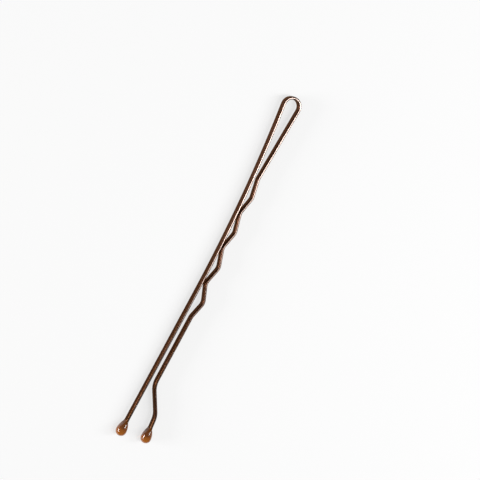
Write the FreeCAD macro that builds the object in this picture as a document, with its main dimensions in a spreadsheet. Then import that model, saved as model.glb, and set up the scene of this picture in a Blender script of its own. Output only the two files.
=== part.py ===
"""Bobby pin: one flat strip of spring steel bent double, with a drop of resin on each end.

The pin lies on its side. +Y runs along it to the bow, +X from the straight leg to the crimped leg
and +Z up, across the width of the strip. The origin is below the middle of the pin, on the surface
that the two drops rest on.

The strip is three solids. The straight leg has a straight run and a long gentle curve up to the bow.
The bow is a round bend. The crimped leg curves the other way, so that it rests on the straight leg at
one place, and carries the crimps and the tail that flares away from the straight leg.
"""

import FreeCAD, Part
import cmath
import math
import os
from enum import IntEnum
from typing import NamedTuple

import Sketcher
from FreeCAD import Placement, Rotation, Vector

# Driving dimensions in millimetres and degrees: name, value and what it measures.
SIZES = (
    ("overall_length", 60.0, "top of the bow to the end of the straight leg's drop"),
    ("wire_width", 1.2, "strip, across its flat faces"),
    ("wire_thickness", 0.5, "strip, through its flat faces"),
    ("bow_radius", 1.4, "bow, to the middle of the strip"),
    ("leg_curve_radius", 250.0, "gentle curve of both legs, to the middle of the strip"),
    ("leg_curve_angle", 7.5, "turn of the straight leg between its straight run and the bow"),
    ("contact_angle", 2.3, "turn of the straight leg between its straight run and the resting place"),
    ("leg_gap", 0.05, "clearance between the legs where the crimped leg rests"),
    ("first_valley_drop", 12.4, "centre of the bow to the first valley"),
    ("crimp_pitch", 6.1, "one valley to the next"),
    ("crest_share", 0.525, "place of a crest between its two valleys, as a share of the pitch"),
    ("crimp_count", 4, "number of crests"),
    ("first_crimp_height", 0.6, "rise of the crest next to the bow"),
    ("last_crimp_height", 0.9, "rise of the crest next to the tail"),
    ("crimp_radius", 1.6, "bends of the crimps, to the middle of the strip"),
    ("tail_radius", 3.5, "the two bends of the tail, to the middle of the strip"),
    ("tail_slope_run", 3.3, "straight stretch between those two bends"),
    ("tail_spread", 4.45, "middle of one drop to the middle of the other"),
    ("tail_end_run", 1.6, "straight end of the tail outside its drop"),
    ("tail_lean", 5.8, "lean of that end away from the straight leg"),
    ("tail_shortfall", 0.5, "how much the crimped leg is shorter than the straight leg"),
    ("drop_diameter", 1.74, "drop at its widest"),
    ("drop_neck_length", 1.45, "widest place of the drop to its mouth"),
    ("drop_mouth_wall", 0.1, "resin round the strip at the mouth of the drop"),
    ("tang_length", 1.3, "end of the strip inside its drop"),
    ("tang_taper", 3.0, "slope of each side of that end"),
)

# Places that follow from those sizes. The crimped leg and the bow are drawn in a frame of their own,
# which has its origin on the line of the valleys at the resting place and is turned by contact_angle.
LAYOUT = (
    ("drop_radius", "Sizes.drop_diameter / 2", "drop at its widest, and height of the strip's middle"),
    ("bow_outer", "Sizes.bow_radius + Sizes.wire_thickness / 2", "outer radius of the bow"),
    ("bow_reach", "Sizes.leg_curve_radius + Sizes.bow_radius", "centre of the leg's curve to the bow's"),
    ("rest_reach", "Sizes.leg_curve_radius + Sizes.wire_thickness + Sizes.leg_gap",
     "centre of the leg's curve to the valleys"),
    ("bow_aside", "bow_reach * cos(Sizes.leg_curve_angle) - Sizes.leg_curve_radius",
     "straight run to the centre of the bow"),
    ("leg_x", "(bow_outer - bow_aside - Sizes.tail_spread - drop_radius) / 2", "straight run"),
    ("bow_x", "leg_x + bow_aside", "centre of the bow"),
    ("bow_y", "Sizes.overall_length / 2 - bow_outer", "centre of the bow"),
    ("curve_y", "bow_y - bow_reach * sin(Sizes.leg_curve_angle)", "end of the straight run, near the bow"),
    ("drop_y", "drop_radius - Sizes.overall_length / 2", "middle of the straight leg's drop"),
    ("straight_run", "curve_y - drop_y - Sizes.drop_neck_length", "length of the straight run"),
    ("tail_x", "leg_x + Sizes.tail_spread", "middle of the crimped leg's drop"),
    ("tail_y", "drop_y + Sizes.tail_shortfall", "middle of the crimped leg's drop"),
    ("rest_x", "leg_x - Sizes.leg_curve_radius + rest_reach * cos(Sizes.contact_angle)", "resting place"),
    ("rest_y", "curve_y + rest_reach * sin(Sizes.contact_angle)", "resting place"),
    ("eye_angle", "Sizes.leg_curve_angle - Sizes.contact_angle", "lean of the straight leg at the bow"),
    ("eye_x", "bow_reach * cos(eye_angle) - rest_reach", "centre of the bow in the turned frame"),
    ("eye_y", "bow_reach * sin(eye_angle)", "centre of the bow in the turned frame"),
    ("valley_y", "eye_y - Sizes.first_valley_drop", "first valley in the turned frame"),
    ("lead_x", "valley_y^2 / (2 * Sizes.leg_curve_radius) + Sizes.crimp_radius - eye_x",
     "centre of the bow to the first valley's, across the leg"),
    ("lead_pair", "Sizes.bow_radius + Sizes.crimp_radius", "sum of their radii"),
    ("lead_run", "sqrt(lead_x^2 + Sizes.first_valley_drop^2 - lead_pair^2)", "straight run between them"),
    ("lead_angle", "(atan(lead_pair / lead_run) - atan(lead_x / Sizes.first_valley_drop)) / 1 deg",
     "lean of that run"),
    ("end_lean", "Sizes.tail_lean - Sizes.contact_angle", "lean of the tail's end in the turned frame"),
    ("mouth_x", "tail_x - Sizes.drop_neck_length * sin(Sizes.tail_lean)", "mouth of the crimped leg's drop"),
    ("mouth_y", "tail_y + Sizes.drop_neck_length * cos(Sizes.tail_lean)", "mouth of the crimped leg's drop"),
    ("far_x", "mouth_x - Sizes.tail_end_run * sin(Sizes.tail_lean)"
     " - Sizes.tail_radius * cos(Sizes.tail_lean)", "centre of the tail's bend next to the drop"),
    ("far_y", "mouth_y + Sizes.tail_end_run * cos(Sizes.tail_lean)"
     " - Sizes.tail_radius * sin(Sizes.tail_lean)", "centre of the tail's bend next to the drop"),
    ("last_y", "valley_y - round(Sizes.crimp_count) * Sizes.crimp_pitch", "last valley in the turned frame"),
    ("last_x", "last_y^2 / (2 * Sizes.leg_curve_radius) + Sizes.crimp_radius",
     "centre of the last valley's bend in the turned frame"),
    ("run_x", "rest_x + last_x * cos(Sizes.contact_angle) - last_y * sin(Sizes.contact_angle)"
     " - Sizes.crimp_radius", "run from the last valley to the tail, parallel to the straight run"),
    ("near_x", "run_x + Sizes.tail_radius", "centre of the tail's bend next to the crimps"),
    ("near_y", "far_y + sqrt(Sizes.tail_slope_run^2 + 4 * Sizes.tail_radius^2 - (near_x - far_x)^2)",
     "centre of the tail's bend next to the crimps"),
)

UP = Vector(0, 0, 1)
QUARTER_TURN, FULL_TURN = 90, 360
NECK_STEPS = 5


class Way(IntEnum):
    """The way a bend turns, from the drop towards the bow."""

    LEFT = 1
    RIGHT = -1


class Spot(IntEnum):
    """A sketch's numbers for the points of a line or an arc."""

    START = 1
    END = 2
    CENTRE = 3


class Axis(IntEnum):
    """A sketch's numbers for its own axes."""

    X = -1
    Y = -2


ORIGIN_POINT = (Axis.X, Spot.START)


class Bend(NamedTuple):
    """A bend of the strip's middle line: formulas of its centre and radius, and the way it turns."""

    name: str
    x: str
    y: str
    radius: str
    way: Way


class Turn(NamedTuple):
    """The same bend in numbers, with its centre as a complex number."""

    centre: complex
    radius: float
    way: Way


def fill_sheet(doc, label, rows, prefix):
    """Write one row per name: its note, and its value or formula under the name as an alias."""
    sheet = doc.addObject("Spreadsheet::Sheet", label)
    for row, (alias, content, note) in enumerate(rows, start=1):
        sheet.set(f"A{row}", note)
        sheet.set(f"B{row}", f"{prefix}{content}")
        sheet.setAlias(f"B{row}", alias)
    doc.recompute()


def new_body(doc, label, x, y, turn):
    """Start a sub-part whose own origin lies at x, y, halfway up the strip, turned about +Z."""
    body = doc.addObject("PartDesign::Body", label)
    body.Label = label
    body.setExpression("Placement.Base.x", x)
    body.setExpression("Placement.Base.y", y)
    body.setExpression("Placement.Base.z", "Layout.drop_radius")
    body.setExpression("Placement.Rotation.Angle", turn)
    return body


def new_sketch(body, name, role, ahead="0", aside="0", axis=Vector(0, 1, 0), turn="0"):
    """Start a sketch on one of the body's planes.

    It is moved ahead along the plane's normal and aside along its x, and turned about its own axis.
    """
    sketch = body.newObject("Sketcher::SketchObject", f"{body.Label}_{name}")
    plane = next(each for each in body.Origin.OriginFeatures if each.Role == role)
    sketch.AttachmentSupport = [(plane, "")]
    sketch.MapMode = "FlatFace"
    # A turn of nothing would lose the axis, so it starts at one degree, until the formula sets it.
    sketch.AttachmentOffset = Placement(Vector(), Rotation(axis, 1))
    sketch.setExpression("AttachmentOffset.Base.x", aside)
    sketch.setExpression("AttachmentOffset.Base.z", ahead)
    sketch.setExpression("AttachmentOffset.Rotation.Angle", turn)
    return sketch


def tie(sketch, kind, *where):
    """Add a constraint without a size to a sketch."""
    sketch.addConstraint(Sketcher.Constraint(kind, *where))


def dimension(sketch, name, kind, where, formula):
    """Add a dimension to a sketch and bind it to a formula."""
    index = sketch.addConstraint(Sketcher.Constraint(kind, *where, sketch.evalExpression(formula)))
    sketch.renameConstraint(index, name)
    sketch.setExpression(f"Constraints.{name}", formula)


def draw_strip(sketch, centre="0"):
    """Draw the strip's section: two flat faces and two round edges, its thickness along the sketch's x."""
    radius = sketch.evalExpression("Sizes.wire_thickness / 2")
    flat = sketch.evalExpression("(Sizes.wire_width - Sizes.wire_thickness) / 2")
    middle = sketch.evalExpression(centre)
    top = Part.Circle(Vector(middle, flat), UP, radius)
    bottom = Part.Circle(Vector(middle, -flat), UP, radius)
    outline = sketch.addGeometry([
        Part.LineSegment(Vector(middle + radius, -flat), Vector(middle + radius, flat)),
        Part.ArcOfCircle(top, 0, math.pi),
        Part.LineSegment(Vector(middle - radius, flat), Vector(middle - radius, -flat)),
        Part.ArcOfCircle(bottom, math.pi, 2 * math.pi),
    ])
    for edge, following in zip(outline, outline[1:] + outline[:1]):
        tie(sketch, "Tangent", edge, Spot.END, following, Spot.START)
    top_edge, bottom_edge = outline[1], outline[3]
    tie(sketch, "Equal", top_edge, bottom_edge)
    tie(sketch, "Symmetric", top_edge, Spot.CENTRE, bottom_edge, Spot.CENTRE, Axis.X)
    dimension(sketch, "edge_radius", "Radius", (top_edge,), "Sizes.wire_thickness / 2")
    dimension(sketch, "flat_width", "DistanceY", (bottom_edge, Spot.CENTRE, top_edge, Spot.CENTRE),
              "Sizes.wire_width - Sizes.wire_thickness")
    dimension(sketch, "middle", "DistanceX", (*ORIGIN_POINT, top_edge, Spot.CENTRE), centre)


def add_tang(body, ahead, aside="0", lean="0"):
    """Add the tapered end of the strip that sits inside a drop."""
    section = new_sketch(body, "tang_section", "XZ_Plane", ahead, aside, turn=lean)
    draw_strip(section)
    tang = body.newObject("PartDesign::Pad", f"{body.Label}_tang")
    tang.Profile = section
    tang.setExpression("Length", "Sizes.tang_length")
    tang.setExpression("TaperAngle", "-Sizes.tang_taper")


def make_straight_leg(doc):
    """The straight run, the gentle curve up to the bow and the tang."""
    body = new_body(doc, "straight_leg", "Layout.leg_x", "Layout.curve_y", "0")
    section = new_sketch(body, "section", "XZ_Plane")
    draw_strip(section)
    reach = section.evalExpression("Sizes.leg_curve_radius")
    height = section.evalExpression("Sizes.wire_width")
    axis = section.addGeometry(Part.LineSegment(Vector(-reach, 0), Vector(-reach, height)), True)
    tie(section, "Vertical", axis)
    tie(section, "PointOnObject", axis, Spot.START, Axis.X)
    dimension(section, "axis_height", "DistanceY", (axis, Spot.START, axis, Spot.END), "Sizes.wire_width")
    dimension(section, "reach", "DistanceX", (axis, Spot.START, *ORIGIN_POINT), "Sizes.leg_curve_radius")
    run = body.newObject("PartDesign::Pad", "straight_leg_run")
    run.Profile = section
    run.setExpression("Length", "Layout.straight_run")
    curve = body.newObject("PartDesign::Revolution", "straight_leg_curve")
    curve.Profile = section
    curve.ReferenceAxis = (section, ["Axis0"])
    curve.setExpression("Angle", "Sizes.leg_curve_angle")
    add_tang(body, "Layout.straight_run")
    return body


def make_bow(doc):
    """The round bend between the ends of the two legs."""
    body = new_body(doc, "bow", "Layout.bow_x", "Layout.bow_y", "Sizes.contact_angle")
    section = new_sketch(body, "section", "YZ_Plane")
    draw_strip(section, "Sizes.bow_radius")
    bend = body.newObject("PartDesign::Revolution", "bow_bend")
    bend.Profile = section
    bend.ReferenceAxis = (section, ["V_Axis"])
    bend.Type = "TwoAngles"
    bend.setExpression("Angle", f"{QUARTER_TURN} + Layout.eye_angle")
    bend.setExpression("Angle2", f"{QUARTER_TURN} + Layout.lead_angle")
    return body


def crimp_bends(crimps):
    """The valleys and crests in order, from the bow down to the tail.

    The valleys follow the gentle curve of the leg, and the crests stand out from it by a height that
    grows evenly from the first to the last.
    """
    def on_curve(y):
        return f"{y}^2 / (2 * Sizes.leg_curve_radius)"

    bends = []
    for number in range(crimps + 1):
        valley_y = f"(Layout.valley_y - {number} * Sizes.crimp_pitch)"
        valley_x = f"({on_curve(valley_y)} + Sizes.crimp_radius)"
        bends.append(Bend(f"valley_{number}", valley_x, valley_y, "Sizes.crimp_radius", Way.RIGHT))
        if number < crimps:
            crest_y = f"(Layout.valley_y - ({number} + Sizes.crest_share) * Sizes.crimp_pitch)"
            share = number / max(crimps - 1, 1)
            height = f"{1 - share} * Sizes.first_crimp_height + {share} * Sizes.last_crimp_height"
            crest_x = f"({on_curve(crest_y)} + {height} - Sizes.crimp_radius)"
            bends.append(Bend(f"crest_{number}", crest_x, crest_y, "Sizes.crimp_radius", Way.LEFT))
    return bends


def turned(x, y):
    """Formulas of a place in the turned frame, from those of the same place in the pin's own frame."""
    aside, ahead = f"({x} - Layout.rest_x)", f"({y} - Layout.rest_y)"
    cosine, sine = "cos(Sizes.contact_angle)", "sin(Sizes.contact_angle)"
    return f"({aside} * {cosine} + {ahead} * {sine})", f"({ahead} * {cosine} - {aside} * {sine})"


def tail_bends():
    """The two bends of the tail, from the crimps down to the drop."""
    near = turned("Layout.near_x", "Layout.near_y")
    far = turned("Layout.far_x", "Layout.far_y")
    return [
        Bend("tail_near", *near, "Sizes.tail_radius", Way.RIGHT),
        Bend("tail_far", *far, "Sizes.tail_radius", Way.LEFT),
    ]


def straight_between(start, finish):
    """The ends of the straight run that touches two turns, one after the other."""
    offset = finish.way * finish.radius - start.way * start.radius
    span = finish.centre - start.centre
    heading = span / complex(math.sqrt(abs(span) ** 2 - offset ** 2), offset)
    left = 1j * heading
    return start.centre - start.way * start.radius * left, finish.centre - finish.way * finish.radius * left


def draw_path(path, mouth_x, mouth_y, bends):
    """Draw the middle line of the crimped leg: straight runs that touch its bends one after another.

    It starts at the mouth of the drop. The last bend is the bow, a circle for the last run to touch.
    """
    def place(point):
        return Vector(point.real, point.imag)

    turns = []
    for bend in bends:
        centre = complex(path.evalExpression(bend.x), path.evalExpression(bend.y))
        turns.append(Turn(centre, path.evalExpression(bend.radius), bend.way))
    mouth = complex(path.evalExpression(mouth_x), path.evalExpression(mouth_y))
    lean = math.radians(path.evalExpression("Layout.end_lean"))
    runs = [(mouth, turns[0].centre + cmath.rect(turns[0].radius, lean))]
    runs += [straight_between(one, other) for one, other in zip(turns, turns[1:])]
    lines = [path.addGeometry(Part.LineSegment(place(begin), place(finish))) for begin, finish in runs]
    dimension(path, "mouth_x", "DistanceX", (*ORIGIN_POINT, lines[0], Spot.START), mouth_x)
    dimension(path, "mouth_y", "DistanceY", (*ORIGIN_POINT, lines[0], Spot.START), mouth_y)
    for number, (bend, turn) in enumerate(zip(bends, turns)):
        circle = Part.Circle(place(turn.centre), UP, turn.radius)
        if bend is bends[-1]:
            arc = path.addGeometry(circle, True)
            tie(path, "Tangent", lines[number], Spot.END, arc)
        else:
            arrival = runs[number][1] - turn.centre
            departure = runs[number + 1][0] - turn.centre
            first, last = (arrival, departure) if turn.way == Way.LEFT else (departure, arrival)
            begin = cmath.phase(first)
            arc = path.addGeometry(Part.ArcOfCircle(circle, begin, begin + cmath.phase(last / first)))
            entry, leave = (Spot.START, Spot.END) if turn.way == Way.LEFT else (Spot.END, Spot.START)
            tie(path, "Tangent", lines[number], Spot.END, arc, entry)
            tie(path, "Tangent", arc, leave, lines[number + 1], Spot.START)
        dimension(path, f"{bend.name}_x", "DistanceX", (*ORIGIN_POINT, arc, Spot.CENTRE), bend.x)
        dimension(path, f"{bend.name}_y", "DistanceY", (*ORIGIN_POINT, arc, Spot.CENTRE), bend.y)
        dimension(path, f"{bend.name}_radius", "Radius", (arc,), bend.radius)


def make_crimped_leg(doc):
    """The strip swept from the mouth of its drop through tail and crimps to the bow, and the tang."""
    body = new_body(doc, "crimped_leg", "Layout.rest_x", "Layout.rest_y", "Sizes.contact_angle")
    path = new_sketch(body, "path", "XY_Plane")
    bow = Bend("bow", "Layout.eye_x", "Layout.eye_y", "Sizes.bow_radius", Way.LEFT)
    bends = [bow] + crimp_bends(round(path.evalExpression("Sizes.crimp_count")))
    bends += tail_bends()
    mouth_x, mouth_y = turned("Layout.mouth_x", "Layout.mouth_y")
    draw_path(path, mouth_x, mouth_y, bends[::-1])
    mouth = (f"-{mouth_y}", mouth_x)
    section = new_sketch(body, "section", "XZ_Plane", *mouth, turn="Layout.end_lean")
    draw_strip(section)
    sweep = body.newObject("PartDesign::AdditivePipe", "crimped_leg_sweep")
    sweep.Profile = section
    sweep.Spine = path
    add_tang(body, *mouth, lean="Layout.end_lean")
    return body


def add_round_end(body):
    """Add the half ball at the end of a drop, which is centred on the body's origin."""
    half = new_sketch(body, "half_round", "XY_Plane")
    radius = half.evalExpression("Layout.drop_radius")
    across, round_end, along = half.addGeometry([
        Part.LineSegment(Vector(radius, 0), Vector(0, 0)),
        Part.ArcOfCircle(Part.Circle(Vector(), UP, radius), -math.pi / 2, 0),
        Part.LineSegment(Vector(0, 0), Vector(0, -radius)),
    ])
    tie(half, "Coincident", round_end, Spot.CENTRE, *ORIGIN_POINT)
    tie(half, "Coincident", across, Spot.END, *ORIGIN_POINT)
    tie(half, "Coincident", along, Spot.START, *ORIGIN_POINT)
    tie(half, "Coincident", across, Spot.START, round_end, Spot.END)
    tie(half, "Coincident", along, Spot.END, round_end, Spot.START)
    tie(half, "PointOnObject", round_end, Spot.END, Axis.X)
    tie(half, "PointOnObject", round_end, Spot.START, Axis.Y)
    dimension(half, "drop_radius", "Radius", (round_end,), "Layout.drop_radius")
    end = body.newObject("PartDesign::Revolution", f"{body.Label}_end")
    end.Profile = half
    end.ReferenceAxis = (half, ["V_Axis"])
    end.Angle = FULL_TURN


def add_neck(body):
    """Add the neck of a drop: a full, egg-shaped loft from its round middle to the ring at its mouth."""
    def drawn_in(half_size, share):
        ease = share ** 2
        return f"{1 - ease} * Layout.drop_radius + {ease} * ({half_size} / 2 + Sizes.drop_mouth_wall)"

    sections = []
    for step in range(NECK_STEPS + 1):
        share = step / NECK_STEPS
        ahead = f"-{share} * Sizes.drop_neck_length"
        section = new_sketch(body, f"neck_{step}", "XZ_Plane", ahead, axis=UP, turn=f"{QUARTER_TURN}")
        wide = drawn_in("Sizes.wire_width", share)
        thin = drawn_in("Sizes.wire_thickness", share)
        major, minor = section.evalExpression(wide), section.evalExpression(thin)
        if step == 0:
            rim = section.addGeometry(Part.Circle(Vector(), UP, major))
            dimension(section, "radius", "Radius", (rim,), "Layout.drop_radius")
        else:
            rim = section.addGeometry(Part.Ellipse(Vector(major, 0), Vector(0, minor), Vector()))
            section.exposeInternalGeometry(rim)
            major_axis, minor_axis = rim + 1, rim + 2
            tie(section, "Horizontal", major_axis)
            dimension(section, "wide", "Distance", (major_axis,), f"2 * ({wide})")
            dimension(section, "thin", "Distance", (minor_axis,), f"2 * ({thin})")
        tie(section, "Coincident", rim, Spot.CENTRE, *ORIGIN_POINT)
        sections.append(section)
    neck = body.newObject("PartDesign::AdditiveLoft", f"{body.Label}_neck")
    neck.Profile = sections[0]
    neck.Sections = sections[1:]


def cut_socket(body):
    """Cut the space that the tang fills."""
    mouth = new_sketch(body, "socket_section", "XZ_Plane", "-Sizes.drop_neck_length")
    draw_strip(mouth)
    socket = body.newObject("PartDesign::Pocket", f"{body.Label}_socket")
    socket.Profile = mouth
    socket.Reversed = True
    socket.setExpression("Length", "Sizes.tang_length")
    socket.setExpression("TaperAngle", "-Sizes.tang_taper")


def make_tip(doc, label, x, y, turn):
    """A drop of resin: a round end, a neck drawn in to the strip, and the socket of the tang."""
    body = new_body(doc, label, x, y, turn)
    add_round_end(body)
    add_neck(body)
    cut_socket(body)
    return body


def check(doc, parts):
    """Stop if any object failed to build or any sub-part isn't one sound solid."""
    for each in doc.Objects:
        if "Invalid" in each.State or "Error" in each.State:
            raise RuntimeError(f"{each.Label} failed: {each.State}")
    for part in parts:
        if part.Shape.isNull() or not part.Shape.isValid() or len(part.Shape.Solids) != 1:
            raise RuntimeError(f"{part.Label} isn't one sound solid")


def main():
    """Build the pin and write each of its sub-parts."""
    doc = FreeCAD.newDocument("bobby_pin")
    fill_sheet(doc, "Sizes", SIZES, "")
    fill_sheet(doc, "Layout", LAYOUT, "=")
    parts = [
        make_straight_leg(doc),
        make_bow(doc),
        make_crimped_leg(doc),
        make_tip(doc, "straight_leg_tip", "Layout.leg_x", "Layout.drop_y", "0"),
        make_tip(doc, "crimped_leg_tip", "Layout.tail_x", "Layout.tail_y", "Sizes.tail_lean"),
    ]
    doc.recompute()
    check(doc, parts)
    os.makedirs("parts", exist_ok=True)
    for part in parts:
        part.Shape.exportStep(f"parts/{part.Label}.step")
        print(f"{part.Label}: {part.Shape.Volume:.4f} mm3")


main()
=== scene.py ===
"""Looks of a bobby pin: a lacquered steel strip bent double, with a drop of amber resin on each end.

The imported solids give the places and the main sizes. The strip is swept along its middle line in three
stretches, and each drop is a stack of rings round the end of its leg.
"""

import cmath
import logging
import math
from dataclasses import dataclass
from enum import Enum
from typing import Any, ClassVar, Iterator

import bmesh
import bpy
from mathutils import Matrix, Vector


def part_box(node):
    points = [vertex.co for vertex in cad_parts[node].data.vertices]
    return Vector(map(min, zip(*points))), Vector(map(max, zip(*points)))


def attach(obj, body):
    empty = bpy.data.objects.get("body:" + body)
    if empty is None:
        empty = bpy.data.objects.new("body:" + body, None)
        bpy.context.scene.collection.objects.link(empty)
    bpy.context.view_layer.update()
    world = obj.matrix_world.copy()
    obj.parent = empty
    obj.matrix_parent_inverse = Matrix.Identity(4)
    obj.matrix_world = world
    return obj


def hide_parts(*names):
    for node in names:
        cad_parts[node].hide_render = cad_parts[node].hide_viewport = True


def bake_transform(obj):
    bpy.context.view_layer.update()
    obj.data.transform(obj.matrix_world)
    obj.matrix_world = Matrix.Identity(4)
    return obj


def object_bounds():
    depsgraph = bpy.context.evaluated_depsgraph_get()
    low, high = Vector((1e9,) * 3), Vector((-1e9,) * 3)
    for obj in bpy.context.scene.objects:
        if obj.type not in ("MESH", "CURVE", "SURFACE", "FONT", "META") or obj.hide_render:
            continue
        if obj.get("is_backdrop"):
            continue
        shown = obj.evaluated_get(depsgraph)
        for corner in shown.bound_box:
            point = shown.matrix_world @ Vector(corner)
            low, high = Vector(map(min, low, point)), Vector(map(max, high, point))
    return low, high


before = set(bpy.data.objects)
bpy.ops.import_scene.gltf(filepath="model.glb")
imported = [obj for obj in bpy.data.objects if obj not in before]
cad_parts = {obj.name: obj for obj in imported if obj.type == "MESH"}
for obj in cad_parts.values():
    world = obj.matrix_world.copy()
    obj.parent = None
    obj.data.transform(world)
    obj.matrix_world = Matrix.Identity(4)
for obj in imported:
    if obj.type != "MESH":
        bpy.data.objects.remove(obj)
CAD_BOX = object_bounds()

LOG = logging.getLogger("bobby_pin")
MM = 0.001
RING_STEP = 0.5 * MM
RING_ANGLE = math.radians(2.5)

Point = complex
Colour = tuple[float, float, float]
Span = tuple[float, float]

WHITE: Colour = (1.0, 1.0, 1.0)
BLACK: Colour = (0.0, 0.0, 0.0)


class Body(Enum):
    """The two bodies of the pin."""

    STRAIGHT = "straight_side"
    CRIMPED = "crimped_side"


class Slot(Enum):
    """The record's material slots."""

    STRIP = "lacquered_strip"
    RESIN = "amber_resin"


class Along(Enum):
    """What a piece carries at each point, for its finish or its sweep."""

    RUN = "run"
    BEND = "bend"
    FILM = "film"
    TAPER = "taper"
    LEVEL = "level"


class Way(Enum):
    """The side that a bend's centre is on, along the strip."""

    LEFT = 1
    RIGHT = -1


def smooth(share: float) -> float:
    """Eases a share from 0 to 1, level at both ends."""
    share = min(max(share, 0.0), 1.0)
    return share * share * (3 - 2 * share)


def put(name: str, data: bpy.types.ID) -> bpy.types.Object:
    """Adds an object to the scene.

    Args:
        name: The object's name.
        data: Its mesh, lamp or camera.

    Returns:
        The object.
    """
    thing = bpy.data.objects.new(name, data)
    bpy.context.scene.collection.objects.link(thing)
    return thing


class Value:
    """A socket of a node tree; arithmetic on it adds Math nodes."""

    def __init__(self, tree: "Tree", socket: bpy.types.NodeSocket) -> None:
        """Wraps an output socket of a tree."""
        self.tree = tree
        self.socket = socket

    def __add__(self, other: "Value | float") -> "Value":
        """This plus the other."""
        return self.tree.math("ADD", self, other)

    def __radd__(self, other: float) -> "Value":
        """The other plus this."""
        return self.tree.math("ADD", other, self)

    def __sub__(self, other: "Value | float") -> "Value":
        """This less the other."""
        return self.tree.math("SUBTRACT", self, other)

    def __rsub__(self, other: float) -> "Value":
        """The other less this."""
        return self.tree.math("SUBTRACT", other, self)

    def __mul__(self, other: "Value | float") -> "Value":
        """This times the other."""
        return self.tree.math("MULTIPLY", self, other)

    def __rmul__(self, other: float) -> "Value":
        """The other times this."""
        return self.tree.math("MULTIPLY", other, self)

    def __truediv__(self, other: "Value | float") -> "Value":
        """This over the other."""
        return self.tree.math("DIVIDE", self, other)

    def __abs__(self) -> "Value":
        """This without its sign."""
        return self.tree.math("ABSOLUTE", self)

    def rise(self, low: float, high: float) -> "Value":
        """Eases from 0 to 1 over a span of this value.

        Args:
            low: The start of the span, below which the share is 0.
            high: The end of the span, above which the share is 1.

        Returns:
            The eased share.
        """
        return self.tree.node(
            "ShaderNodeMapRange",
            {"interpolation_type": "SMOOTHSTEP"},
            {"Value": self, "From Min": low, "From Max": high},
        )


class Tree:
    """A node tree that is built from Python expressions."""

    def __init__(self, tree: bpy.types.NodeTree) -> None:
        """Wraps an empty node tree."""
        self.tree = tree

    def feed(self, socket: bpy.types.NodeSocket, value: Any) -> None:
        """Links a value to an input socket, or sets a plain number, word or colour on it.

        Args:
            socket: The input socket.
            value: What it gets; a colour may come without its alpha.
        """
        if isinstance(value, Value):
            self.tree.links.new(value.socket, socket)
        elif socket.type == "RGBA" and len(value) == 3:
            socket.default_value = (*value, 1.0)
        else:
            socket.default_value = value

    def add(
        self,
        kind: str,
        settings: dict[str, Any] | None = None,
        sockets: dict[str | int, Any] | None = None,
    ) -> bpy.types.Node:
        """Adds a node.

        Args:
            kind: The node's type.
            settings: Its properties, which are set first.
            sockets: What its input sockets hold, by name or place.

        Returns:
            The node.
        """
        node = self.tree.nodes.new(kind)
        for name, setting in (settings or {}).items():
            setattr(node, name, setting)
        for name, value in (sockets or {}).items():
            self.feed(node.inputs[name], value)
        return node

    def node(
        self,
        kind: str,
        settings: dict[str, Any] | None = None,
        sockets: dict[str | int, Any] | None = None,
        output: str | int = 0,
    ) -> Value:
        """Adds a node for the sake of one of its outputs.

        Args:
            kind: The node's type.
            settings: Its properties, which are set first.
            sockets: What its input sockets hold, by name or place.
            output: The output socket to hand back, by name or place.

        Returns:
            That output socket.
        """
        return Value(self, self.add(kind, settings, sockets).outputs[output])

    def math(self, operation: str, *operands: "Value | float") -> Value:
        """Adds a Math node on one or two operands."""
        return self.node("ShaderNodeMath", {"operation": operation}, dict(enumerate(operands)))

    def vector(self, x: "Value | float", y: "Value | float", z: "Value | float") -> Value:
        """Makes a vector of three numbers."""
        return self.node("ShaderNodeCombineXYZ", None, {"X": x, "Y": y, "Z": z})

    def part_of(self, vector: Value, axis: str) -> Value:
        """Takes the X, Y or Z of a vector."""
        return self.node("ShaderNodeSeparateXYZ", None, {0: vector}, axis)


@dataclass(frozen=True)
class Grain:
    """Cloudy noise: how many clouds there are to a metre, and how finely they are broken up."""

    per_metre: float
    detail: float


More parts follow.
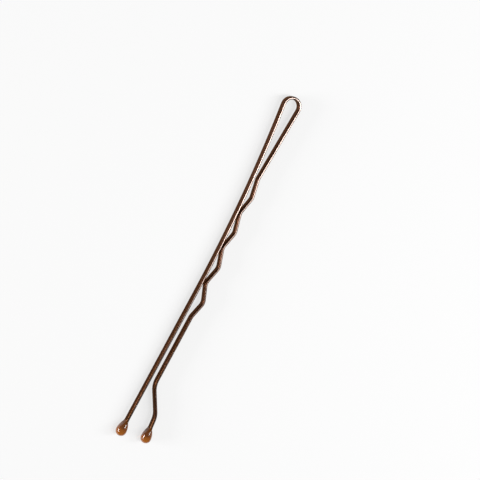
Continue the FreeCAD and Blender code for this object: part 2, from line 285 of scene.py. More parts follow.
class FinishTree(Tree):
    """The tree of one material, with a Principled shader at its end.

    A Mix node's sockets share their names, so those for colours are found by their places.
    """

    MIX_A = 6
    MIX_B = 7
    MIX_RESULT = 2

    def __init__(self, name: str) -> None:
        """Starts a material with a bare Principled shader.

        Args:
            name: The material's name.
        """
        self.material = bpy.data.materials.new(name)
        self.material.use_nodes = True
        super().__init__(self.material.node_tree)
        self.tree.nodes.clear()
        self.shader = self.add("ShaderNodeBsdfPrincipled")
        self.add("ShaderNodeOutputMaterial", None, {"Surface": Value(self, self.shader.outputs[0])})

    def set(self, **sockets: Any) -> None:
        """Feeds the shader's sockets; Base_Color stands for Base Color."""
        for name, value in sockets.items():
            self.feed(self.shader.inputs[name.replace("_", " ")], value)

    def place(self) -> Value:
        """The point's place in the pin's own frame."""
        return self.node("ShaderNodeTexCoord", output="Object")

    def carried(self, what: Along) -> Value:
        """A number that the piece's points carry."""
        return self.node("ShaderNodeAttribute", {"attribute_name": what.value}, output="Fac")

    def seen(self) -> Value:
        """Tells the rays that end in the picture from those that only carry light.

        Returns:
            1 for a ray from the camera, also one that was mirrored or went through resin; otherwise 0.
        """
        seen = self.node("ShaderNodeLightPath", output="Is Camera Ray")
        for ray in ("Is Glossy Ray", "Is Transmission Ray"):
            seen = self.math("MAXIMUM", seen, self.node("ShaderNodeLightPath", output=ray))
        return seen

    def noise(self, at: Value, grain: Grain) -> Value:
        """Cloudy noise about 0.5."""
        sockets = {"Vector": at, "Scale": grain.per_metre, "Detail": grain.detail}
        return self.node("ShaderNodeTexNoise", None, sockets)

    def mix(self, first: "Value | Colour", second: "Value | Colour", share: Value) -> Value:
        """Goes from one colour to another.

        Args:
            first: The colour where the share is 0.
            second: The colour where the share is 1.
            share: How far to go.

        Returns:
            The mixed colour.
        """
        return self.node(
            "ShaderNodeMix",
            {"data_type": "RGBA"},
            {0: share, self.MIX_A: first, self.MIX_B: second},
            self.MIX_RESULT,
        )

    def bump(self, height: Value, distance: float) -> Value:
        """A normal that follows a height of 0 to 1, distance metres deep."""
        return self.node("ShaderNodeBump", None, {"Height": height, "Distance": distance})


@dataclass(frozen=True)
class StripGauge:
    """Section of the flattened wire, whose width stands along Z and whose faces are slightly crowned."""

    width: float
    thickness: float
    middle: float
    crown: float = 0.1

    @classmethod
    def packed(cls) -> "StripGauge":
        """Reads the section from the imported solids.

        Returns:
            The section, with its width from the bow and its thickness from the straight leg.
        """
        low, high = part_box("bow")
        leg_x = sum(corner.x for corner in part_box("straight_leg_tip")) / 2
        thickness = 2 * (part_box("straight_leg")[1].x - leg_x)
        return cls(high.z - low.z, thickness, (low.z + high.z) / 2)


@dataclass(frozen=True)
class BrownLacquer:
    """Glossy brown lacquer on drawn steel, chipped where the strip bends. Its edges carry a pale band
    that is partly lacquer rubbed thin and partly a painted highlight, strongest towards the bow and
    weaker on the crimps.

    First come the colours, then where the lacquer is worn and where the painted highlight lies, its
    grain, its gloss and its relief.
    """

    chocolate: Colour = (0.096, 0.04, 0.024)
    umber: Colour = (0.052, 0.018, 0.005)
    # Pale edge colour: partly lacquer rubbed thin, partly a painted highlight.
    thin_coat_and_highlight: Colour = (0.62, 0.49, 0.43)
    resin_stain: Colour = (0.075, 0.032, 0.014)
    bare_steel: Colour = (0.6, 0.54, 0.5)
    rim_tint: Colour = (0.56, 0.46, 0.38)
    upper_in_tone: float = 0.6
    stain_strength: float = 0.75

    crest_depth: float = 0.02 * MM
    # Span up the pin towards the bow, over which the painted highlight on the edges grows and the tone
    # gets lighter.
    upper_end_over: Span = (-14 * MM, 16 * MM)
    least_wear_and_highlight: float = 0.15
    crimps_over: Span = (68 * MM, 80 * MM)
    wear_and_highlight_cut_at_crimps: float = 0.5
    even_wear_and_highlight: float = 0.55
    patchy_wear_and_highlight: float = 0.6
    crest_strain: float = 0.9
    bend_strain: float = 0.35
    chips_over_strain: Span = (0.3, 0.8)

    clouds: Grain = Grain(420.0, 3.0)
    cloud_edge: Span = (0.32, 0.68)
    patches: Grain = Grain(900.0, 2.0)
    specks: Grain = Grain(2600.0, 2.0)
    speck_edge: Span = (0.68, 0.72)
    peel: Grain = Grain(5200.0, 1.0)
    drawn: Grain = Grain(1.0, 3.0)
    drawn_along: float = 500.0
    drawn_across: float = 16000.0

    metal: float = 0.9
    roughness: float = 0.2
    drawn_roughness: float = 0.12
    patch_roughness: float = 0.06
    edge_band_polish: float = 0.08

    relief: float = 0.003 * MM
    peel_relief: float = 0.7
    drawn_relief: float = 0.5
    chip_relief: float = 0.8

    def material(self, gauge: StripGauge) -> bpy.types.Material:
        """Makes the finish.

        Args:
            gauge: The strip's section, which places the edges.

        Returns:
            The material.
        """
        tree = FinishTree("brown_lacquer")
        place = tree.place()
        height = tree.part_of(place, "Z")
        upper = tree.part_of(place, "Y").rise(*self.upper_end_over)
        run = tree.carried(Along.RUN)
        bend = tree.carried(Along.BEND)
        film = tree.carried(Along.FILM)

        clouds = tree.noise(place, self.clouds).rise(*self.cloud_edge)
        patches = tree.noise(place, self.patches)
        specks = tree.noise(place, self.specks).rise(*self.speck_edge)
        peel = tree.noise(place, self.peel)
        lines = tree.vector(run * self.drawn_along, height * self.drawn_across, 0.0)
        drawn = tree.noise(lines, self.drawn)

        edge = gauge.width / 2
        # The pale edge band: partly lacquer rubbed thin, partly a painted highlight that fades towards
        # the drops and on the crimps.
        crest = abs(height - gauge.middle).rise(edge - self.crest_depth, edge)
        crimp_cut = 1.0 - self.wear_and_highlight_cut_at_crimps * run.rise(*self.crimps_over)
        wear_and_highlight_along = (self.least_wear_and_highlight + (1 - self.least_wear_and_highlight) * upper) * crimp_cut
        wear_and_highlight = crest * wear_and_highlight_along * (self.even_wear_and_highlight + self.patchy_wear_and_highlight * patches)
        strain = crest * self.crest_strain + bend * self.bend_strain
        chipped = specks * strain.rise(*self.chips_over_strain)

        lightness = upper * self.upper_in_tone + clouds * (1 - self.upper_in_tone)
        tone = tree.mix(self.umber, self.chocolate, lightness)
        # Painted highlight along the edges, partly also rubbed lacquer.
        tone = tree.mix(tone, self.thin_coat_and_highlight, wear_and_highlight)
        tone = tree.mix(tone, self.resin_stain, film * self.stain_strength)
        tone = tree.mix(tone, self.bare_steel, chipped)
        dull = self.roughness + self.drawn_roughness * drawn + self.patch_roughness * patches
        raised = peel * self.peel_relief + drawn * self.drawn_relief - chipped * self.chip_relief
        tree.set(
            Base_Color=tone,
            Metallic=self.metal,
            Roughness=dull - self.edge_band_polish * wear_and_highlight,
            Specular_Tint=self.rim_tint,
            Normal=tree.bump(raised, self.relief),
        )
        return tree.material


@dataclass(frozen=True)
class AmberResin:
    """Glossy caramel resin, half see-through, deeper and duller where it thins out on the strip.

    The spans are shares of the drop's height, from its blunt end to the end of the film on the strip. The
    swirl adds to that share where caramel begins.
    """

    honey: Colour = (0.5, 0.147, 0.001)
    caramel: Colour = (0.26, 0.067, 0.001)
    burnt: Colour = (0.22, 0.066, 0.003)
    caramel_over: Span = (0.35, 0.9)
    burnt_over: Span = (0.5, 0.95)
    burnt_strength: float = 0.7
    coat_ends_over: Span = (0.68, 0.9)

    swirl: Grain = Grain(1500.0, 3.0)
    swirl_depth: float = 0.6
    skin: Grain = Grain(3000.0, 1.0)
    skin_relief: float = 0.0015 * MM

    see_through: float = 0.55
    bending_of_light: float = 1.42
    inner_gloss: float = 0.1
    roughness: float = 0.03
    uneven_roughness: float = 0.04
    coat_roughness: float = 0.02
    coat_bending_of_light: float = 1.5

    def material(self) -> bpy.types.Material:
        """Makes the finish.

        Returns:
            The material.
        """
        tree = FinishTree("amber_resin")
        place = tree.place()
        level = tree.carried(Along.LEVEL)
        swirl = tree.noise(place, self.swirl)
        skin = tree.noise(place, self.skin)
        swirled = (swirl * self.swirl_depth + level).rise(*self.caramel_over)
        tone = tree.mix(self.honey, self.caramel, swirled)
        tone = tree.mix(tone, self.burnt, level.rise(*self.burnt_over) * self.burnt_strength)
        tree.set(
            Base_Color=tone,
            Roughness=self.roughness + self.uneven_roughness * skin * swirl,
            IOR=self.bending_of_light,
            Specular_IOR_Level=self.inner_gloss,
            Transmission_Weight=self.see_through,
            Coat_Weight=1.0 - level.rise(*self.coat_ends_over),
            Coat_Roughness=self.coat_roughness,
            Coat_IOR=self.coat_bending_of_light,
            Normal=tree.bump(skin, self.skin_relief),
        )
        return tree.material


@dataclass(frozen=True)
class PaleFloor:
    """Matt white table, which shows most of its brightness to the camera as an even white."""

    white: Colour = (0.93, 0.925, 0.92)
    shade: Colour = (0.9, 0.895, 0.89)
    shown: Colour = (0.28, 0.28, 0.28)
    glow: Colour = (0.68, 0.68, 0.68)
    clouds: Grain = Grain(12.0, 2.0)
    roughness: float = 0.7

    def material(self) -> bpy.types.Material:
        """Makes the finish.

        Returns:
            The material.
        """
        tree = FinishTree("pale_floor")
        seen = tree.seen()
        paint = tree.mix(self.white, self.shade, tree.noise(tree.place(), self.clouds))
        tree.set(
            Base_Color=tree.mix(paint, self.shown, seen),
            Roughness=self.roughness,
            Specular_IOR_Level=0.0,
            Emission_Color=tree.mix(BLACK, self.glow, seen),
            Emission_Strength=1.0,
        )
        return tree.material


@dataclass(frozen=True)
class Run:
    """A straight stretch of the middle line, where the lacquer was not strained."""

    start: Point
    finish: Point
    tight: ClassVar[bool] = False

    @property
    def length(self) -> float:
        """Length in metres."""
        return abs(self.finish - self.start)

    @property
    def rings(self) -> int:
        """How many steps the sweep takes along it."""
        return max(1, round(self.length / RING_STEP))

    def place(self, share: float) -> Point:
        """The point at a share of its length."""
        return self.start + share * (self.finish - self.start)


@dataclass(frozen=True)
class Bend:
    """A round stretch of the middle line, from an angle about its centre and turning by a sweep."""

    centre: Point
    radius: float
    begin: float
    sweep: float
    tight_below: ClassVar[float] = 5 * MM

    @property
    def tight(self) -> bool:
        """Whether the lacquer was strained by the bending."""
        return self.radius < self.tight_below

    @property
    def length(self) -> float:
        """Length in metres."""
        return self.radius * abs(self.sweep)

    @property
    def rings(self) -> int:
        """How many steps the sweep takes along it."""
        return max(2, round(abs(self.sweep) / RING_ANGLE), round(self.length / RING_STEP))

    def place(self, share: float) -> Point:
        """The point at a share of its length."""
        return self.centre + cmath.rect(self.radius, self.begin + share * self.sweep)


@dataclass(frozen=True)
class Turn:
    """A bend before its ends are known."""

    centre: Point
    radius: float
    way: Way

    def run_to(self, other: "Turn") -> Run:
        """The straight stretch that touches this turn and the next.

        Args:
            other: The turn that follows along the strip.

        Returns:
            The stretch from this turn to the other.
        """
        span = other.centre - self.centre
        offset = other.way.value * other.radius - self.way.value * self.radius
        heading = span / complex(math.sqrt(abs(span) ** 2 - offset**2), offset)
        side = heading * 1j
        return Run(
            self.centre - self.way.value * self.radius * side,
            other.centre - other.way.value * other.radius * side,
        )

    def between(self, before: Point, after: Point) -> Bend:
        """The bend from one point on the turn to another.

        Args:
            before: Where the strip comes in.
            after: Where it goes out.

        Returns:
            The bend between them.
        """
        inward, outward = before - self.centre, after - self.centre
        return Bend(self.centre, self.radius, cmath.phase(inward), cmath.phase(outward / inward))


@dataclass(frozen=True)
class PinLayout:
    """Where the strip runs, in the plane of the pin: packed places and the sizes of its bends."""

    gauge: StripGauge
    bow_centre: Point
    bow_radius: float
    straight_drop: Point
    tail_drop: Point
    drop_radius: float
    mouth_reach: float
    leg_curve_radius: float = 250 * MM
    leg_curve_turn: float = math.radians(7.5)
    contact_turn: float = math.radians(2.3)
    leg_gap: float = 0.05 * MM
    first_valley_drop: float = 12.4 * MM
    crimp_pitch: float = 6.1 * MM
    crest_share: float = 0.525
    crimp_count: int = 4
    first_crimp_height: float = 0.6 * MM
    last_crimp_height: float = 0.9 * MM
    crimp_radius: float = 1.6 * MM
    tail_radius: float = 3.5 * MM
    tail_end_run: float = 1.6 * MM
    tail_slope_run: float = 3.3 * MM
    tail_lean: float = math.radians(5.8)
    tang_length: float = 1.3 * MM

    @classmethod
    def packed(cls) -> "PinLayout":
        """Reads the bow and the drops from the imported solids.

        Returns:
            The layout, with the sizes of its bends as they are given above.
        """
        gauge = StripGauge.packed()
        bow_low, bow_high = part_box("bow")
        bow_outer = (bow_high.x - bow_low.x) / 2
        tip_low, tip_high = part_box("straight_leg_tip")
        tail_low, tail_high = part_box("crimped_leg_tip")
        ball = (tip_high.z - tip_low.z) / 2
        return cls(
            gauge=gauge,
            bow_centre=complex((bow_low.x + bow_high.x) / 2, bow_high.y - bow_outer),
            bow_radius=bow_outer - gauge.thickness / 2,
            straight_drop=complex((tip_low.x + tip_high.x) / 2, tip_low.y + ball),
            tail_drop=complex(tail_high.x - ball, tail_low.y + ball),
            drop_radius=ball,
            mouth_reach=tip_high.y - tip_low.y - ball,
        )

    @property
    def straight_mouth(self) -> Point:
        """Where the straight leg goes into its drop."""
        return self.straight_drop + 1j * self.mouth_reach

    @property
    def tail_heading(self) -> Point:
        """Direction of the strip as it goes into the tail's drop."""
        return -1j * cmath.rect(1, self.tail_lean)

    @property
    def tail_mouth(self) -> Point:
        """Where the crimped leg goes into its drop."""
        return self.tail_drop - self.mouth_reach * self.tail_heading

    def leg_curve(self) -> Bend:
        """Works out the gentle curve of the straight leg.

        Returns:
            The curve, from the straight run up to the bow.
        """
        bow_end = self.bow_centre - cmath.rect(self.bow_radius, self.leg_curve_turn)
        centre = bow_end - cmath.rect(self.leg_curve_radius, self.leg_curve_turn)
        return Bend(centre, self.leg_curve_radius, 0.0, self.leg_curve_turn)

    def straight_leg(self) -> list[Run | Bend]:
        """Lays out the straight leg.

        Returns:
            Its stretches, from the end of its tang to the bow.
        """
        mouth = self.straight_mouth
        curve = self.leg_curve()
        return [
            Run(mouth - 1j * self.tang_length, mouth),
            Run(mouth, complex(mouth.real, curve.centre.imag)),
            curve,
        ]

    def bow(self) -> list[Run | Bend]:
        """Lays out the bow.

        Returns:
            Its one bend, from the straight leg over to the crimped leg.
        """
        begin = math.pi + self.leg_curve_turn
        end = cmath.phase(self.crimped_leg()[0].start - self.bow_centre)
        return [Bend(self.bow_centre, self.bow_radius, begin, end - begin)]

    def crimp_turns(self) -> list[Turn]:
        """Places the crimps along the straight leg's curve.

        Returns:
            Their valleys and crests in turn, from the bow down.
        """
        curve = self.leg_curve_radius
        turned = cmath.rect(1, self.contact_turn)
        height = self.leg_curve().centre.imag + curve * math.sin(self.contact_turn)
        touch = self.straight_drop.real - curve * (1 - math.cos(self.contact_turn))
        rest = complex(touch, height) + (self.gauge.thickness + self.leg_gap) * turned
        first = ((self.bow_centre - rest) / turned).imag - self.first_valley_drop
        turns = []
        for index in range(self.crimp_count + 1):
            valley = first - index * self.crimp_pitch
            place = complex(valley**2 / (2 * curve) + self.crimp_radius, valley)
            turns.append(Turn(rest + place * turned, self.crimp_radius, Way.LEFT))
            if index == self.crimp_count:
                break
            share = index / (self.crimp_count - 1)
            rise = self.first_crimp_height + share * (self.last_crimp_height - self.first_crimp_height)
            crest = valley - self.crest_share * self.crimp_pitch
            place = complex(crest**2 / (2 * curve) + rise - self.crimp_radius, crest)
            turns.append(Turn(rest + place * turned, self.crimp_radius, Way.RIGHT))
        return turns

    def tail_turns(self, above: Turn) -> list[Turn]:
        """The two bends of the tail.

        Args:
            above: The last valley of the crimps.

        Returns:
            The bend that leads out to the side, and the one that leads back to the drop.
        """
        side = self.tail_heading * 1j
        leave = self.tail_mouth - self.tail_end_run * self.tail_heading
        far = Turn(leave - self.tail_radius * side, self.tail_radius, Way.RIGHT)
        spacing = math.hypot(self.tail_slope_run, 2 * self.tail_radius)
        run_x = above.centre.real - above.radius
        near_x = run_x + self.tail_radius
        drop = math.sqrt(spacing**2 - (near_x - far.centre.real) ** 2)
        near = Turn(complex(near_x, far.centre.imag + drop), self.tail_radius, Way.LEFT)
        return [near, far]

    def crimped_leg(self) -> list[Run | Bend]:
        """Lays out the crimped leg.

        Returns:
            Its stretches, from the bow to the end of its tang.
        """
        turns = [Turn(self.bow_centre, self.bow_radius, Way.RIGHT), *self.crimp_turns()]
        turns += self.tail_turns(turns[-1])
        mouth = self.tail_mouth
        runs = [one.run_to(other) for one, other in zip(turns, turns[1:])]
        runs.append(Run(mouth - self.tail_end_run * self.tail_heading, mouth))
        line: list[Run | Bend] = [runs[0]]
        for turn, before, after in zip(turns[1:], runs, runs[1:]):
            line.append(turn.between(before.finish, after.start))
            line.append(after)
        line.append(Run(mouth, mouth + self.tang_length * self.tail_heading))
        return line


class StripSweep:
    """A tree that sweeps the strip's section along a middle line."""

    GEOMETRY = "Geometry"
    WIDTH = "Width"
    THICKNESS = "Thickness"
    CROWN = "Crown"
    POINTS = "Section points"
    FINISH = "Finish"
    EDGE_STEPS = 24
    RING_POINTS = 64

    def __init__(self) -> None:
        """Builds the tree."""
        self.group = bpy.data.node_groups.new("strip_sweep", "GeometryNodeTree")
        face = self.group.interface
        self.keys: dict[str, str] = {}
        for name, kind in (
            (self.GEOMETRY, "NodeSocketGeometry"),
            (self.WIDTH, "NodeSocketFloat"),
            (self.THICKNESS, "NodeSocketFloat"),
            (self.CROWN, "NodeSocketFloat"),
            (self.POINTS, "NodeSocketInt"),
            (self.FINISH, "NodeSocketMaterial"),
        ):
            self.keys[name] = face.new_socket(name, in_out="INPUT", socket_type=kind).identifier
        face.new_socket(self.GEOMETRY, in_out="OUTPUT", socket_type="NodeSocketGeometry")
        self._fill(Tree(self.group))

    def _fill(self, tree: Tree) -> None:
        """Adds the tree's nodes.

        Args:
            tree: The empty tree.
        """
        given = tree.add("NodeGroupInput")
        sizes = {name: Value(tree, given.outputs[name]) for name in self.keys}
        line = tree.node("GeometryNodeMeshToCurve", None, {"Mesh": sizes[self.GEOMETRY]})
        line = tree.node("GeometryNodeSetCurveNormal", {"mode": "Z_UP"}, {"Curve": line})

        box = {"Width": sizes[self.THICKNESS], "Height": sizes[self.WIDTH]}
        section = tree.node("GeometryNodeCurvePrimitiveQuadrilateral", None, box)
        section = tree.node(
            "GeometryNodeFilletCurve",
            {"mode": "POLY"},
            {
                "Curve": section,
                "Count": self.EDGE_STEPS,
                "Radius": sizes[self.THICKNESS] * 0.5,
                "Limit Radius": True,
            },
        )
        section = tree.node(
            "GeometryNodeResampleCurve",
            {"mode": "COUNT"},
            {"Curve": section, "Count": sizes[self.POINTS]},
        )
        at = tree.node("GeometryNodeInputPosition")
        across, up = tree.part_of(at, "X"), tree.part_of(at, "Y")
        share = up * 2.0 / sizes[self.WIDTH]
        crowned = across * (1.0 - sizes[self.CROWN] * share * share)
        section = tree.node(
            "GeometryNodeSetPosition",
            None,
            {"Geometry": section, "Position": tree.vector(crowned, up, 0.0)},
        )
        taper = tree.node(
            "GeometryNodeInputNamedAttribute",
            {"data_type": "FLOAT"},
            {"Name": Along.TAPER.value},
        )
        strip = tree.node(
            "GeometryNodeCurveToMesh",
            None,
            {"Curve": line, "Profile Curve": section, "Scale": taper, "Fill Caps": True},
        )
        strip = tree.node("GeometryNodeRealizeInstances", None, {"Geometry": strip})
        finished = {"Geometry": strip, "Material": sizes[self.FINISH]}
        strip = tree.node("GeometryNodeSetMaterial", None, finished)
        tree.add("NodeGroupOutput", None, {self.GEOMETRY: strip})

    def sweep(
        self, name: str, line: bpy.types.Mesh, gauge: StripGauge, finish: bpy.types.Material
    ) -> bpy.types.Object:
        """Sweeps the section along a line of points.

        Args:
            name: The piece's name.
            line: Mesh of the middle line's points and edges.
            gauge: The section.
            finish: The piece's material.

        Returns:
            The piece, as a plain mesh.
        """
        piece = put(name, line)
        modifier = piece.modifiers.new("sweep", "NODES")
        modifier.node_group = self.group
        inputs = {
            self.WIDTH: gauge.width,
            self.THICKNESS: gauge.thickness,
            self.CROWN: gauge.crown,
            self.POINTS: self.RING_POINTS,
            self.FINISH: finish,
        }
        for socket, value in inputs.items():
            modifier[self.keys[socket]] = value
        shown = piece.evaluated_get(bpy.context.evaluated_depsgraph_get())
        mesh = bpy.data.meshes.new_from_object(shown)
        piece.modifiers.remove(modifier)
        piece.data = mesh
        mesh.name = name
        bpy.data.meshes.remove(line)
        return piece


@dataclass
class StripStretch:
    """One stretch of the lacquered strip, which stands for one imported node."""

    node: str
    layout: PinLayout
    line: list[Run | Bend]
    first_run: float
    mouth_run: float | None = None
    stain_reach: float = 2.2 * MM
    tang_narrowing: float = 0.2
    tang_end: float = 0.12 * MM
    tang_end_rounding: float = 0.9

    def samples(self) -> Iterator[tuple[Point, float, float]]:
        """Walks along the middle line.

        Returns:
            Each point, its distance along the strip and how tightly the strip is bent there.
        """
        run = self.first_run
        yield self.line[0].place(0), run, 0.0
        for stretch in self.line:
            for ring in range(1, stretch.rings + 1):
                share = ring / stretch.rings
                bend = 1 - (2 * share - 1) ** 4 if stretch.tight else 0.0
                yield stretch.place(share), run + share * stretch.length, bend
            run += stretch.length

    def depth(self, run: float) -> float:
        """Measures how far inside the drop a point of the strip lies.

        Args:
            run: The point's distance along the strip.

        Returns:
            Its depth below the drop's mouth; below 0 outside the drop.
        """
        if self.mouth_run is None:
            return -math.inf
        return run - self.mouth_run if self.mouth_run > 0 else self.mouth_run - run

    def taper(self, run: float) -> float:
        """Narrows the tang inside its drop and rounds its end.

        Args:
            run: The point's distance along the strip.

        Returns:
            Scale of the section there.
        """
        depth = max(self.depth(run), 0.0)
        tang = self.layout.tang_length
        into_end = max(0.0, depth - tang + self.tang_end) / self.tang_end
        rounded = math.sqrt(1 - self.tang_end_rounding * min(into_end, 1.0) ** 2)
        return (1 - self.tang_narrowing * depth / tang) * rounded

    def build(self, sweep: StripSweep, finish: bpy.types.Material) -> bpy.types.Object:
        """Makes the piece.

        Args:
            sweep: The tree that sweeps the section.
            finish: The lacquer.

        Returns:
            The piece.
        """
        rows = list(self.samples())
        line = bpy.data.meshes.new(self.node + "_line")
        middle = self.layout.gauge.middle
        line.from_pydata(
            [(at.real, at.imag, middle) for at, _, _ in rows],
            [(index, index + 1) for index in range(len(rows) - 1)],
            [],
        )
        carried = {
            Along.RUN: [run for _, run, _ in rows],
            Along.BEND: [bend for _, _, bend in rows],
            Along.FILM: [smooth(1 + self.depth(run) / self.stain_reach) for _, run, _ in rows],
            Along.TAPER: [self.taper(run) for _, run, _ in rows],
        }
        for what, numbers in carried.items():
            line.attributes.new(what.value, "FLOAT", "POINT").data.foreach_set("value", numbers)
        return sweep.sweep("lacquered_" + self.node, line, self.layout.gauge, finish)

    def dress(self, piece: bpy.types.Object) -> None:
        """Hides the imported node that the piece stands for."""
        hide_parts(self.node)


@dataclass
class ResinDrop:
    """A drop of resin on the end of a leg: an egg, blunt end down, with a small fillet to the strip."""

    node: str
    body: Body
    layout: PinLayout
    centre: Point
    heading: Point
    wobble_phase: float
    mouth_wall: float = 0.1 * MM
    fillet: float = 0.12 * MM
    film: float = 0.01 * MM
    film_reach: float = 0.35 * MM
    wobble: float = 0.012 * MM
    ring_points: int = 48
    ball_rings: int = 18
    neck_rings: int = 36

    @property
    def neck(self) -> float:
        """Distance from the middle of the ball to where the film on the strip ends."""
        return self.layout.mouth_reach + self.film_reach

    def section(self, level: float) -> tuple[float, float]:
        """Works out the drop's section at one height.

        Args:
            level: Distance above the middle of the ball.

        Returns:
            Half thickness and half width there.
        """
        ball = self.layout.drop_radius
        if level <= 0:
            size = math.sqrt(max(ball**2 - level**2, 0.0))
            return size, size
        gauge = self.layout.gauge
        drawn_in = (level / self.layout.mouth_reach) ** 2
        fillet = self.fillet * smooth(level / ball) * (1 - smooth(level / self.neck) ** 4)
        sizes = []
        for half in (gauge.thickness / 2, gauge.width / 2):
            egg = ball - drawn_in * (ball - half - self.mouth_wall)
            film = half + self.film
            sizes.append((egg + film + math.hypot(egg - film, fillet)) / 2)
        return sizes[0], sizes[1]

    def levels(self) -> list[float]:
        """Spaces the rings out.

        Returns:
            Their heights, from just above the pole to the lip on the strip.
        """
        ball = self.layout.drop_radius
        turn = math.pi / 2 / self.ball_rings
        step = self.neck / self.neck_rings
        below = [-ball * math.cos(turn * ring) for ring in range(1, self.ball_rings + 1)]
        return below + [step * ring for ring in range(1, self.neck_rings + 1)]

    def ring(self, level: float) -> Iterator[Vector]:
        """Walks round one ring.

        Args:
            level: The ring's height above the middle of the ball.

        Returns:
            Each point's place across the strip's thickness, up the drop and across the strip's width.
        """
        thick, wide = self.section(level)
        wobble = max(0.0, 1 - abs(level) / self.neck) * self.wobble / self.layout.drop_radius
        for index in range(self.ring_points):
            angle = 2 * math.pi * (index + 0.5) / self.ring_points
            reach = thick * (1 + wobble * math.sin(2 * angle + self.wobble_phase))
            side = math.copysign(wide - thick, math.sin(angle))
            yield Vector((reach * math.cos(angle), level, reach * math.sin(angle) + side))

    def build(self, finish: bpy.types.Material) -> bpy.types.Object:
        """Makes the drop.

        Args:
            finish: The resin.

        Returns:
            The piece, as a closed mesh.
        """
        up = Vector((-self.heading.real, -self.heading.imag, 0))
        turn = Matrix((Vector((up.y, -up.x, 0)), up, Vector((0, 0, 1)))).transposed()
        middle = Vector((self.centre.real, self.centre.imag, self.layout.gauge.middle))
        skin = bmesh.new()
        depth = skin.verts.layers.float.new(Along.LEVEL.value)
        pole = skin.verts.new(middle + turn @ Vector((0, -self.layout.drop_radius, 0)))
        rings = []
        low, span = -self.layout.drop_radius, self.layout.drop_radius + self.neck
        for level in self.levels():
            ring = [skin.verts.new(middle + turn @ point) for point in self.ring(level)]
            for vertex in ring:
                vertex[depth] = (level - low) / span
            rings.append(ring)
        count = self.ring_points
        for index in range(count):
            after = (index + 1) % count
            skin.faces.new((pole, rings[0][index], rings[0][after]))
            for lower, upper in zip(rings, rings[1:]):
                skin.faces.new((lower[index], upper[index], upper[after], lower[after]))
        skin.faces.new(rings[-1])
        bmesh.ops.recalc_face_normals(skin, faces=skin.faces)
        for face in skin.faces:
            face.smooth = len(face.verts) < count
        mesh = bpy.data.meshes.new("resin_" + self.node)
        skin.to_mesh(mesh)
        skin.free()
        mesh.materials.append(finish)
        return put(mesh.name, mesh)

    def dress(self, piece: bpy.types.Object) -> None:
        """Puts the drop on its leg.

        Args:
            piece: The drop.
        """
        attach(piece, self.body.value)
        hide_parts(self.node)


@dataclass
class LacqueredStrip:
    """The strip, bent double: a straight leg, the bow that flexes, and a crimped leg."""

    layout: PinLayout
    finish: BrownLacquer

    def build(self) -> list[bpy.types.Object]:
        """Makes the three stretches and puts the two legs on their bodies.

        Returns:
            The straight leg, the bow and the crimped leg.
        """
        layout = self.layout
        sweep = StripSweep()
        lacquer = self.finish.material(layout.gauge)
        lines = (layout.straight_leg(), layout.bow(), layout.crimped_leg())
        lengths = [sum(part.length for part in line) for line in lines]
        bow_run = lengths[0] - layout.tang_length
        crimp_run = bow_run + lengths[1]
        end_run = crimp_run + lengths[2] - layout.tang_length
        straight = StripStretch("straight_leg", layout, lines[0], -layout.tang_length, 0.0)
        bow = StripStretch("bow", layout, lines[1], bow_run)
        crimped = StripStretch("crimped_leg", layout, lines[2], crimp_run, end_run)
        pieces = []
        for stretch in (straight, bow, crimped):
            piece = stretch.build(sweep, lacquer)
            stretch.dress(piece)
            pieces.append(piece)
        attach(pieces[0], Body.STRAIGHT.value)
        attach(pieces[2], Body.CRIMPED.value)
        self.flex(pieces[1], lines[1][0])
        return pieces

    def flex(self, piece: bpy.types.Object, bend: Bend) -> None:
        """Bakes the bow's place into its mesh; nothing here lets it bend between the legs or holds its
        end rings to them.

        Args:
            piece: The bow.
            bend: Its middle line.
        """
        gauge = self.layout.gauge
        inner = bend.radius - gauge.thickness / 2
        start = bend.centre + cmath.rect(inner, bend.begin)
        end = bend.centre + cmath.rect(inner, bend.begin + bend.sweep)
        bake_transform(piece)


@dataclass(frozen=True)
class Softbox:
    """A soft lamp, placed by how far round the picture it stands and how far it leans to the camera."""

    name: str
    degrees_round: float
    degrees_towards: float
    width: float
    height: float
    radiance: float
    distance: float = 0.36

    def hang(self, camera: Matrix, target: Vector) -> None:
        """Adds the lamp.

        Args:
            camera: The camera's axes as columns.
            target: The point that it shines on.
        """
        lamp = bpy.data.lights.new(self.name, "AREA")
        lamp.shape = "RECTANGLE"
        lamp.size = self.width
        lamp.size_y = self.height
        lamp.energy = self.radiance * math.pi * self.width * self.height
        turn = math.radians(self.degrees_round)
        lean = math.radians(self.degrees_towards)
        flat = math.cos(lean)
        ray = camera @ Vector((flat * math.cos(turn), flat * math.sin(turn), math.sin(lean)))
        stand = put(self.name, lamp)
        stand.location = target + self.distance * ray
        stand.rotation_euler = ray.to_track_quat("Z", "Y").to_euler()


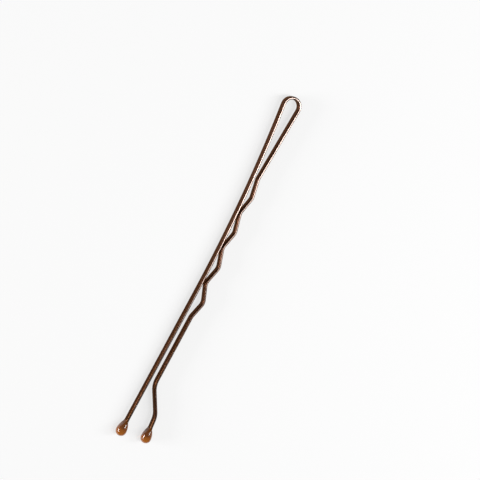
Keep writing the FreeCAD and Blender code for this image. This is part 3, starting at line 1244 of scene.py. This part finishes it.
@dataclass
class Studio:
    """White table, with soft lamps and a camera that are aimed at one point above it."""

    aim_z: float
    aim_x: float = 1.03 * MM
    aim_y: float = 6.12 * MM
    roll: float = math.radians(26.0)
    turn: float = math.radians(28.35)
    frame_width: float = 75.9 * MM
    lens: float = 100.0
    clip_start: float = 1 * MM
    floor_half: float = 1.5
    ambient: float = 0.25
    lamps: tuple[Softbox, ...] = (
        Softbox("left_softbox", 180, 36, width=0.15, height=0.1, radiance=22.0),
        Softbox("right_softbox", -8, 10, width=0.08, height=0.16, radiance=14.0),
        Softbox("front_softbox", -25, 42, width=0.1, height=0.2, radiance=8.5),
    )

    @property
    def target(self) -> Vector:
        """The point that the camera and the lamps are aimed at."""
        return Vector((self.aim_x, self.aim_y, self.aim_z))

    def axes(self) -> Matrix:
        """Turns the camera about the pin.

        Returns:
            The camera's axes as columns: right, up and towards the camera.
        """
        right = Vector((math.cos(self.roll), 0, math.sin(self.roll)))
        up = Vector((0, 1, 0))
        back = Vector((-math.sin(self.roll), 0, math.cos(self.roll)))
        cosine, sine = math.cos(self.turn), math.sin(self.turn)
        return Matrix((cosine * right + sine * up, cosine * up - sine * right, back)).transposed()

    def build(self, floor: PaleFloor) -> None:
        """Sets up the floor, the surroundings, the camera and the lamps.

        Args:
            floor: The table's finish.
        """
        bpy.context.scene.view_settings.view_transform = "Standard"
        self.lay_floor(floor)
        self.light_surroundings()
        self.set_camera()
        for lamp in self.lamps:
            lamp.hang(self.axes(), self.target)

    def lay_floor(self, floor: PaleFloor) -> None:
        """Lays the table that the drops rest on.

        Args:
            floor: The table's finish.
        """
        mesh = bpy.data.meshes.new("floor")
        half = self.floor_half
        corners = [(-half, -half, 0), (half, -half, 0), (half, half, 0), (-half, half, 0)]
        mesh.from_pydata(corners, [], [(0, 1, 2, 3)])
        mesh.materials.append(floor.material())
        table = put("floor", mesh)
        table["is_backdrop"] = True

    def light_surroundings(self) -> None:
        """Gives an even glow from all round, which fills the shadows."""
        world = bpy.data.worlds.new("studio")
        world.use_nodes = True
        bpy.context.scene.world = world
        tree = Tree(world.node_tree)
        world.node_tree.nodes.clear()
        glow = tree.node("ShaderNodeBackground", None, {"Color": WHITE, "Strength": self.ambient})
        tree.add("ShaderNodeOutputWorld", None, {"Surface": glow})

    def set_camera(self) -> None:
        """Puts the camera where the pin was seen from."""
        camera = bpy.data.cameras.new("camera")
        camera.lens = self.lens
        camera.clip_start = self.clip_start
        stand = put("camera", camera)
        axes = self.axes()
        distance = self.frame_width * self.lens / camera.sensor_width
        stand.matrix_world = Matrix.Translation(self.target + distance * axes.col[2]) @ axes.to_4x4()
        bpy.context.scene.camera = stand


def write_sizes() -> None:
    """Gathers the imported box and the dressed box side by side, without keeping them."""
    boxes = {"cad": CAD_BOX, "visual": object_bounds()}
    {name: [list(corner) for corner in box] for name, box in boxes.items()}


def main() -> None:
    """Builds the pin and the studio round it."""
    logging.basicConfig(level=logging.INFO, format="%(name)s: %(message)s")
    layout = PinLayout.packed()
    pieces = LacqueredStrip(layout, BrownLacquer()).build()
    resin = AmberResin().material()
    straight_tip = ResinDrop(
        "straight_leg_tip", Body.STRAIGHT, layout, layout.straight_drop, heading=-1j, wobble_phase=0.0
    )
    crimped_tip = ResinDrop(
        "crimped_leg_tip", Body.CRIMPED, layout, layout.tail_drop, layout.tail_heading, wobble_phase=2.0
    )
    for drop in (straight_tip, crimped_tip):
        piece = drop.build(resin)
        drop.dress(piece)
        pieces.append(piece)
    for piece in pieces:
        LOG.info("%s: %d faces", piece.name, len(piece.data.polygons))
    Studio(layout.gauge.middle).build(PaleFloor())
    write_sizes()


if __name__ == "__main__":
    main()
